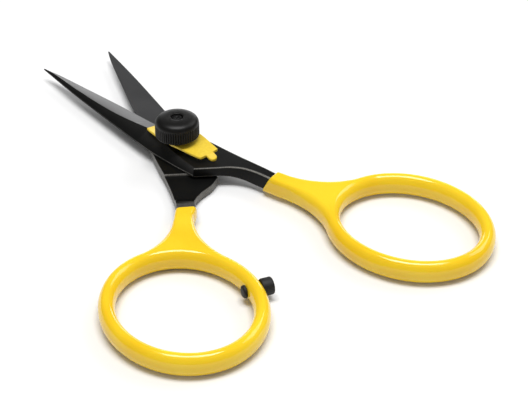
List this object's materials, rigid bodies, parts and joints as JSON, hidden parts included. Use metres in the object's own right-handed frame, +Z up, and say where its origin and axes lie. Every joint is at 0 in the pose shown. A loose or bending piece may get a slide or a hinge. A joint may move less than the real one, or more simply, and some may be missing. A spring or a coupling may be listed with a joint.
{
  "type": "office scissors",
  "caption": "Slim pointed scissors with dipped finger rings, a rubber stop between them and a knurled thumb nut that sets the blade tension through a leaf spring.",
  "frame": {"origin": "on the pivot axis, at the flat underside of the pivot screw's head, on the plane the scissors lie on", "axes": "+X from the finger rings towards the blade tips, along the line that halves the open angle; +Z up, along the pivot axis, towards the thumb nut; +Y towards the lower half's ring"},
  "size_m": [0.0982, 0.0718, 0.0101],
  "materials": {
    "black_steel": "black oxide on forged steel, satin, worn lighter along the edges",
    "black_screw": "black oxide, satin",
    "yellow_vinyl": "thick dipped vinyl, smooth and glossy",
    "yellow_enamel": "enamelled spring steel, semi-gloss",
    "black_nut": "black coating on a turned and knurled nut, satin",
    "black_rubber": "soft black rubber, matte"
  },
  "bodies": {
    "lower_half": {"lower_blade": "black_steel", "lower_ring_coat": "yellow_vinyl", "pivot_screw": "black_screw", "ring_bumper": "black_rubber"},
    "upper_half": {"upper_blade": "black_steel", "upper_ring_coat": "yellow_vinyl"},
    "spring_leaf": {"tension_plate": "yellow_enamel"},
    "nut": {"thumb_nut": "black_nut"}
  },
  "joints": [
    {"name": "blade_pivot", "type": "hinge", "parent": "lower_half", "child": "upper_half", "pos_m": [0, 0, 0.00225], "axis": [0, 0, 1], "range_deg": [-20.2, 60]},
    {"name": "plate_flex", "type": "slide", "parent": "upper_half", "child": "spring_leaf", "axis": [0, 0, 1], "range_m": [-0.0001, 0.0002]},
    {"name": "nut_turn", "type": "hinge", "parent": "spring_leaf", "child": "nut", "pos_m": [0, 0, 0.0063], "axis": [0, 0, 1], "range_deg": [-90, 180]}
  ],
  "couplings": [
    {"joint": "nut_turn", "follows": "plate_flex", "rad_per_m": 15708}
  ]
}
